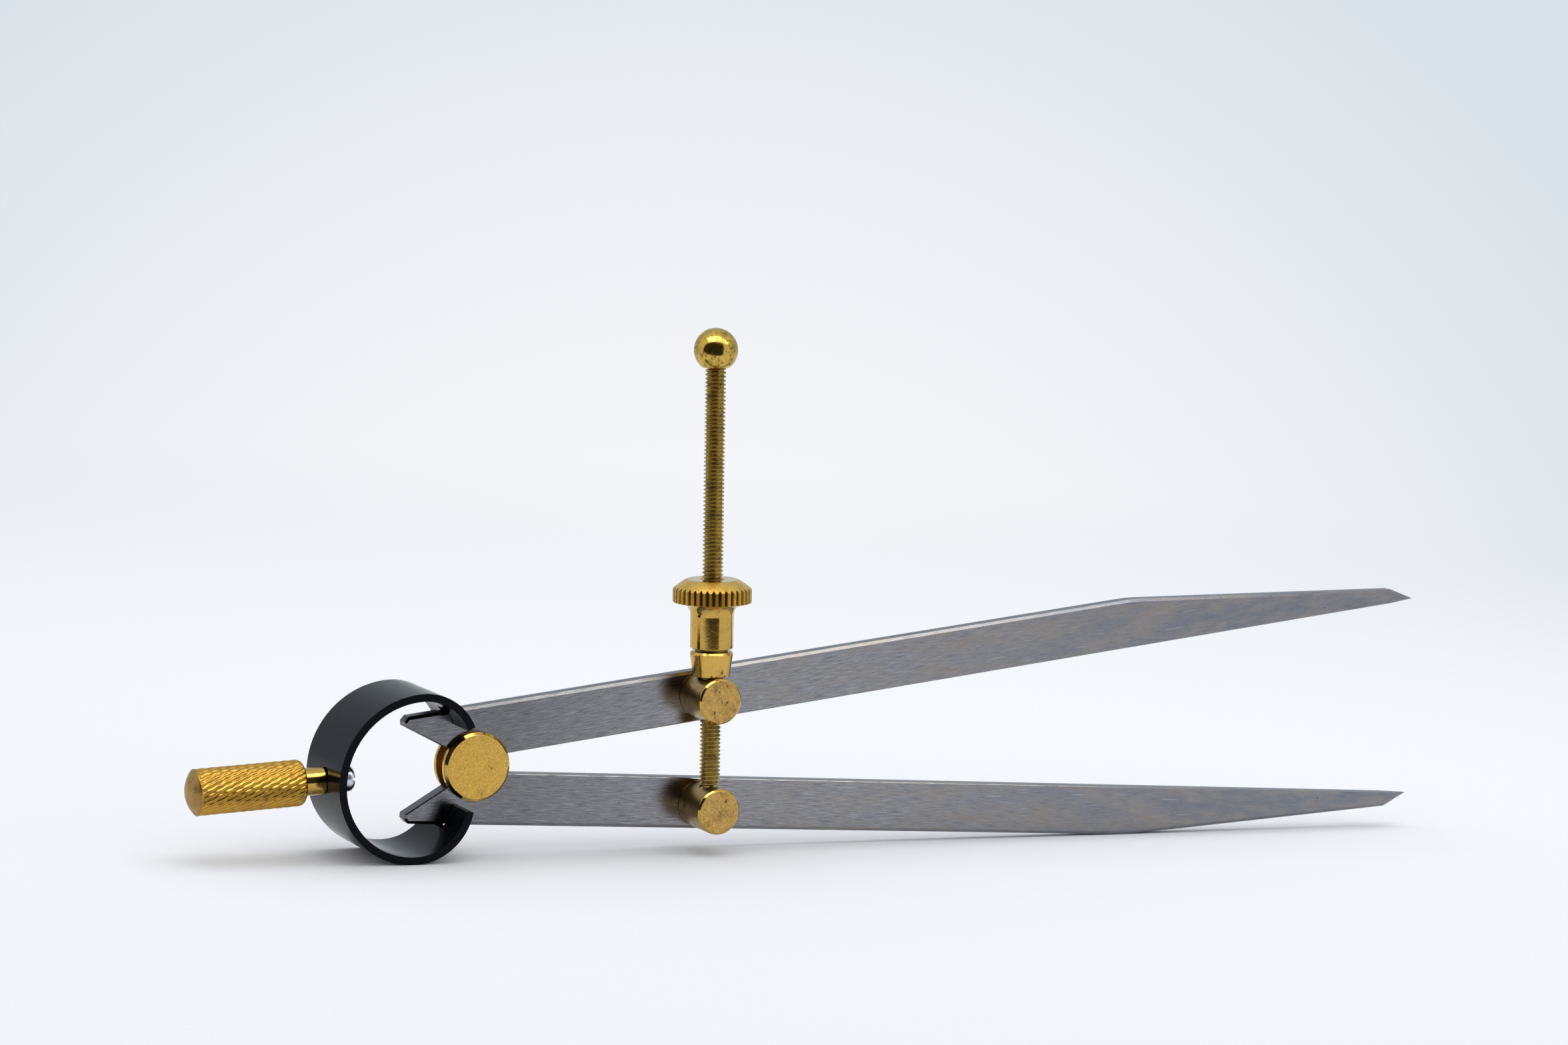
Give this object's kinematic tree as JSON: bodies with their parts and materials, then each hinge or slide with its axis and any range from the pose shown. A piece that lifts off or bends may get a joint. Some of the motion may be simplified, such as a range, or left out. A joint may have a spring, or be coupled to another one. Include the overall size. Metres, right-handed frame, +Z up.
{
  "type": "spring divider",
  "caption": "Spring divider: pointed flat legs on a flanged fulcrum roller, pressed apart by a forked bow spring, with a knurled handle and a threaded rod and nut that set the opening.",
  "frame": {"origin": "on the floor, under the middle of the whole divider as it stands on its bow and on the lower leg", "axes": "+X along the legs towards the points, +Y from the screw's side to the back, +Z up"},
  "size_m": [0.251, 0.0208, 0.0933],
  "materials": {
    "leg_steel": "ground lengthwise, slightly worn",
    "brass": "turned, lightly tarnished",
    "aged_brass": "thread cut, tarnished",
    "black_spring": "satin black oxide on spring steel",
    "zinc": "bright zinc plate"
  },
  "bodies": {
    "lower_leg": {"lower_leg": "leg_steel"},
    "upper_leg": {"upper_leg": "leg_steel"},
    "bow": {"bow_spring": "black_spring", "handle": "brass", "handle_screw": "zinc", "handle_washer": "zinc"},
    "roller": {"fulcrum_roller": "brass"},
    "screw": {"lower_stud": "brass", "lower_stud_washer": "leg_steel", "adjusting_screw": "aged_brass", "ball_knob": "brass"},
    "swivel": {"upper_stud": "brass", "upper_stud_washer": "leg_steel", "nut_seat": "brass"},
    "nut": {"adjusting_nut": "brass"}
  },
  "joints": [
    {"name": "leg_swing", "type": "hinge", "parent": "lower_leg", "child": "upper_leg", "pos_m": [-0.07426, 0.0022, 0.01571], "axis": [0, -1, 0], "range_deg": [-11, 49]},
    {"name": "bow_turn", "type": "hinge", "parent": "lower_leg", "child": "bow", "pos_m": [-0.07426, 0.0022, 0.01571], "axis": [0, -1, 0], "range_deg": [-5.5, 24.5]},
    {"name": "roller_spin", "type": "hinge", "parent": "lower_leg", "child": "roller", "pos_m": [-0.07426, 0.0022, 0.01571], "axis": [0, -1, 0], "continuous": true},
    {"name": "screw_tilt", "type": "hinge", "parent": "lower_leg", "child": "screw", "pos_m": [-0.03067, 0.0022, 0.00806], "axis": [0, -1, 0], "range_deg": [-5.5, 24.5]},
    {"name": "swivel_tilt", "type": "hinge", "parent": "upper_leg", "child": "swivel", "pos_m": [-0.03168, 0.0022, 0.02778], "axis": [0, -1, 0], "range_deg": [-24.5, 5.5]},
    {"name": "nut_turn", "type": "hinge", "parent": "swivel", "child": "nut", "pos_m": [-0.03245, -0.00344, 0.04276], "axis": [-0.0511, 0, 0.9987], "range_deg": [-4000, 17900]}
  ],
  "couplings": [
    {"joint": "bow_turn", "follows": "leg_swing", "ratio": 0.5},
    {"joint": "screw_tilt", "follows": "leg_swing", "ratio": 0.5},
    {"joint": "swivel_tilt", "follows": "leg_swing", "ratio": -0.5},
    {"joint": "nut_turn", "follows": "leg_swing", "ratio": 363.15}
  ]
}
